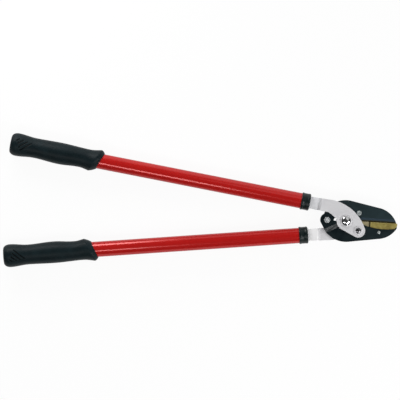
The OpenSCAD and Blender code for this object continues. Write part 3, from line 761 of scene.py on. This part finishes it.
def jaw_rivet(body, rivet, washer, y, behind):
    """Domed rivet and washer of one jaw, its peened end hollowed by the punch."""
    place = upright(PIVOT_AHEAD, y, flip=behind)
    hollow = [(-JAW_HALF + depth, r) for depth, r in PUNCH_HOLLOW]
    shank = [(-JAW_HALF, RIVET_FLARE_R - RIVET_FLARE_EDGE),
             (-JAW_HALF + RIVET_FLARE_EDGE, RIVET_FLARE_R),
             (-JAW_HALF + RIVET_FLARE_H, RIVET_R), (RIVET_HEAD, RIVET_R)]
    made = turned_piece(hollow + shank + dome_points(RIVET_HEAD, RIVET_DOME_R, RIVET_DOME_H),
                        place, rivet + "_peened", rivet_steel)
    made.data.materials.append(peened)
    face_z = REST + (JAW_HALF if behind else -JAW_HALF)
    for face in made.data.polygons:
        face.material_index = int(abs(face.center.z - face_z * MM) < PEENED_DEPTH * MM)
    assemble(made, body, "polished", rivet)
    ring = turned_piece(washer_points(JAW_WASHER_R, RIVET_R + FIT, LEVERS_OUT, JAW_WASHER_T),
                        place, washer + "_turned", washer_zinc, closed=True)
    assemble(ring, body, "plated", washer)


for pivot in JAW_PIVOTS:
    jaw_rivet(*pivot)


# ---------------------------------------------------------------------------
# The anvil plate: 4 mm steel with the same black coating, joggled up at the
# back to a lobe that lies over the blade's eye. Its upper edge carries the
# anvil bar.
# ---------------------------------------------------------------------------

PLATE_BEND = 1.2

plate = cad_copy("anvil_plate")
soften(plate, bend_edges(plate, 15), PLATE_BEND, 4)
soften(plate, hard_edges(plate, 50), JAW_EDGE, 2)
plate_black = jaw_black("plate_black", (0.015, 0.025, 0.0275, 1),
                        (0.0015, 0.0055, 0.0075, 1), 0.0)
assemble(make_piece(plate, "anvil_plate_joggled", plate_black, 60, flats=True),
         "anvil_jaw", "jaw", "anvil_plate")


# ---------------------------------------------------------------------------
# The anvil bar: a brass casting that sits astride the plate's edge, faced on
# top for the blade to close on, held by one small steel rivet. The faced lip
# is bright, with olive tarnish in places, and a dark olive band of painted
# shade lies at the step's corner.
# ---------------------------------------------------------------------------

BAR_STEP, BAR_HALF, BAR_LIP, BAR_SOLE = 43.7, 5.5, 2.2, 1.4
BAR_FACED, BAR_LOW, BAR_EDGE = 1.0, -2.5, 0.3
BAR_RIVET = (60.7, -16.9)
BAR_RIVET_R, BAR_RIVET_DOME_R, BAR_RIVET_DOME_H = 2.0, 2.8, 1.0
BAR_RIVET_TAIL = ((1.03, 0), (0.98, 0.9), (0.7, 1.9), (0.2, 2.65))


def upper_edges(shape, across):
    """Hard edges of the bar's upper face, with both ends where across says yes to their Y."""
    return [e for e in hard_edges(shape, 50)
            if all(across(v.co.y) and v.co.z > (REST + BAR_HALF - NEAR) * MM for v in e.verts)]


bar = cad_copy("anvil_bar")
lip = [e for e in upper_edges(bar, lambda y: abs(y - BAR_FACED * MM) < NEAR * MM)
       if abs(e.verts[0].co.x - e.verts[1].co.x) > MM]
soften(bar, lip, BAR_LIP, 1)
soften(bar, upper_edges(bar, lambda y: y < BAR_LOW * MM), BAR_SOLE, 1)
soften(bar, hard_edges(bar, 60), BAR_EDGE, 2)

brass, wire = new_finish("anvil_brass")
cast = speckle(wire, place_on(wire), 900, 3.0)
tarnish = speckle(wire, place_on(wire), 130, 4.0)
milled = speckle(wire, place_on(wire, (0.05, 1, 1)), 1500, 2.0)
tone = (tarnish * 0.55 + milled * 0.3 + cast * 0.15).rise(0.32, 0.68)
ahead = wire.node("ShaderNodeSeparateXYZ", {}, {0: place_on(wire)}, out="X")
# painted shade: a dark olive band at the step's corner, standing in for the shade at its riser
corner = (ahead.rise((BAR_STEP - 2.2) * MM, (BAR_STEP - 0.8) * MM)
          * ahead.rise((BAR_STEP + 0.9) * MM, (BAR_STEP + 0.3) * MM))
tongue = ahead.rise((BAR_STEP - 0.8) * MM, (BAR_STEP - 1.6) * MM)
faced = tone.between((0.22, 0.165, 0.04, 1), (0.42, 0.35, 0.1, 1))
aged = tongue.between(faced, (0.38, 0.33, 0.19, 1))
coat(wire, {
    "Base Color": corner.between(aged, (0.05, 0.042, 0.014, 1)),
    "Metallic": 0.5,
    "Roughness": 0.42 + 0.15 * tarnish,
    "Normal": relief(wire, milled * 0.6 + cast * 0.4, 0.012),
})
assemble(make_piece(bar, "anvil_bar_brass", brass, 30, flats=True),
         "anvil_jaw", "anvil", "anvil_bar")

bar_rivet = turned_piece(
    [(-BAR_HALF - out, r) for out, r in BAR_RIVET_TAIL]
    + [(-BAR_HALF - FIT, BAR_RIVET_DOME_R), (-BAR_HALF - FIT, BAR_RIVET_R),
       (JAW_HALF + FIT, BAR_RIVET_R)]
    + dome_points(JAW_HALF + FIT, BAR_RIVET_DOME_R, BAR_RIVET_DOME_H, 10),
    upright(*BAR_RIVET), "anvil_bar_rivet_domed", peened, 64)
assemble(bar_rivet, "anvil_jaw", "plated", "anvil_bar_rivet")


# ---------------------------------------------------------------------------
# The jaw hinge: a zinc plated hexagon bolt from behind, a washer, and a lock
# nut with a nylon ring on the anvil plate's lobe. The bolt slides a little in
# the blade's wide eye as the jaws open.
# ---------------------------------------------------------------------------

HINGE = (-34.5, 0.0)
HINGE_R, HINGE_END, HINGE_PITCH, HINGE_THREAD = 3.0, 13.38, 1.0, 0.36
HINGE_THREAD_PROUD, HINGE_THREAD_DOWN, HINGE_THREAD_RUN = 0.12, 2.2, 1.6
HINGE_WASHER_LOW = -3.65
HINGE_BOLT_EDGE, HINGE_NUT_EDGE = 0.18, 0.15

hinge_bolt = cad_copy("hinge_bolt")
soften(hinge_bolt, hard_edges(hinge_bolt, 35), HINGE_BOLT_EDGE, 2)
hinge_bolt.from_mesh(rolled_thread(
    fastener_zinc, Radius=HINGE_R + HINGE_THREAD_PROUD, Pitch=HINGE_PITCH, Depth=HINGE_THREAD,
    Length=HINGE_THREAD_RUN, X=HINGE[0], Y=HINGE[1], Z=REST + HINGE_END - HINGE_THREAD_DOWN))
assemble(make_piece(hinge_bolt, "hinge_bolt_hex", fastener_zinc, 35, flats=True),
         "anvil_jaw", "plated", "hinge_bolt")

ring = turned_piece(washer_points(JAW_WASHER_R, HINGE_R + FIT, HINGE_WASHER_LOW, JAW_WASHER_T),
                    upright(*HINGE), "hinge_washer_turned", fastener_zinc, closed=True)
assemble(ring, "anvil_jaw", "plated", "hinge_washer")

nut = cad_copy("hinge_nut")
soften(nut, hard_edges(nut, 35), HINGE_NUT_EDGE, 2)
assemble(make_piece(nut, "hinge_lock_nut", fastener_zinc, 35, flats=True),
         "anvil_jaw", "plated", "hinge_nut")
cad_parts["hinge_nut_ring"].material_slots[0].material = blue_nylon


# ---------------------------------------------------------------------------
# The studio: a white floor under the tool, four soft lamps at its corners, a
# fifth ahead of the jaws that leaves no reflection, and a camera straight
# above with a long lens.
# ---------------------------------------------------------------------------

FLOOR_HALF = 30.0  # the studio's lengths are in metres, apart from the sensor's
FLOOR_SHADE, FLOOR_WHITE, FLOOR_GLOW = (0.42, 0.42, 0.42, 1), (0.95, 0.95, 0.95, 1), 0.93
LAMPS = (
    # name, centre, place it faces along X, width and depth, watts, seen in reflections
    ("lamp_far_butts", (-0.95, 0.85, 0.45), -0.95, (0.9, 0.4), 8.4, True),
    ("lamp_near_butts", (-0.8, -0.72, 1.3), -0.8, (1.0, 0.3), 5.6, True),
    ("lamp_near_jaws", (0.96, -0.74, 1.2), 0.0, (1.5, 0.46), 17.5, True),
    ("lamp_far_jaws", (0.5, 0.9, 1.2), 0.0, (1.2, 0.8), 1.8, True),
    ("lamp_ahead", (1.2, 0.5, 1.2), 0.0, (1.4, 1.0), 7.0, False),
)
SKY_LEVEL, HORIZON_LEVEL, FAR_WALL_LEVEL = 0.05, 0.95, 0.7
CAMERA_OVER, CAMERA_HEIGHT, CAMERA_ROLL = (-0.2659, 0.02135), 4.0, 3.6
PHOTO_WIDTH, SENSOR, SIGHT = 0.724, 36.0, 100

floor_shape = bmesh.new()
bmesh.ops.create_grid(floor_shape, x_segments=1, y_segments=1, size=FLOOR_HALF)
white_floor, wire = new_finish("white_floor")
path = wire.tree.nodes.new("ShaderNodeLightPath")
camera_ray, glossy_ray, through_ray = (
    Wire(wire.tree, path.outputs["Is " + kind + " Ray"])
    for kind in ("Camera", "Glossy", "Transmission"))
seen = wire.sum("MAXIMUM", wire.sum("MAXIMUM", camera_ray, glossy_ray), through_ray)
paint = seen.between(FLOOR_SHADE, FLOOR_WHITE)
matt = wire.node("ShaderNodeBsdfDiffuse", {}, {"Color": paint})
glow = wire.node("ShaderNodeEmission", {}, {"Color": (1, 1, 1, 1), "Strength": 1.0})
mixed = wire.node("ShaderNodeMixShader", {}, {0: seen * FLOOR_GLOW, 1: matt, 2: glow})
wire.node("ShaderNodeOutputMaterial", {}, {"Surface": mixed})
floor = make_piece(floor_shape, "studio_floor", white_floor)

for name, spot, facing, (wide, deep), watts, reflected in LAMPS:
    lamp = bpy.data.lights.new(name, "AREA")
    lamp.shape, lamp.size, lamp.size_y, lamp.energy = "RECTANGLE", wide, deep, watts
    hung = bpy.data.objects.new(name, lamp)
    hung.location = spot
    back = Vector(spot) - Vector((facing, 0, 0))
    hung.rotation_euler = back.to_track_quat("Z", "Y").to_euler()
    hung.visible_camera = False
    hung.visible_glossy = reflected
    bpy.context.scene.collection.objects.link(hung)

world = bpy.data.worlds.new("studio")
world.use_nodes = True
world.node_tree.nodes.clear()
wire = Wire(world.node_tree)
look = wire.node("ShaderNodeTexCoord", {}, {}, out="Generated")
height = wire.node("ShaderNodeSeparateXYZ", {}, {0: look}, out="Z")
away = wire.node("ShaderNodeSeparateXYZ", {}, {0: look}, out="Y")
horizon = HORIZON_LEVEL * height.rise(0.14, 0.04)
far_wall = FAR_WALL_LEVEL * away.rise(0.35, 0.85) * height.rise(0.6, 0.35)
sky = wire.node("ShaderNodeBackground", {},
                {"Color": (1, 1, 1, 1), "Strength": SKY_LEVEL + horizon + far_wall})
wire.node("ShaderNodeOutputWorld", {}, {"Surface": sky})
bpy.context.scene.world = world

lens = bpy.data.cameras.new("photo_camera")
lens.sensor_width = SENSOR
lens.lens = SENSOR * CAMERA_HEIGHT / PHOTO_WIDTH
lens.clip_end = SIGHT
camera = bpy.data.objects.new("photo_camera", lens)
camera.location = (*CAMERA_OVER, CAMERA_HEIGHT + REST * MM)
camera.rotation_euler = (0, 0, math.radians(CAMERA_ROLL))
bpy.context.scene.collection.objects.link(camera)
bpy.context.scene.camera = camera
bpy.context.scene.view_settings.view_transform = "Standard"
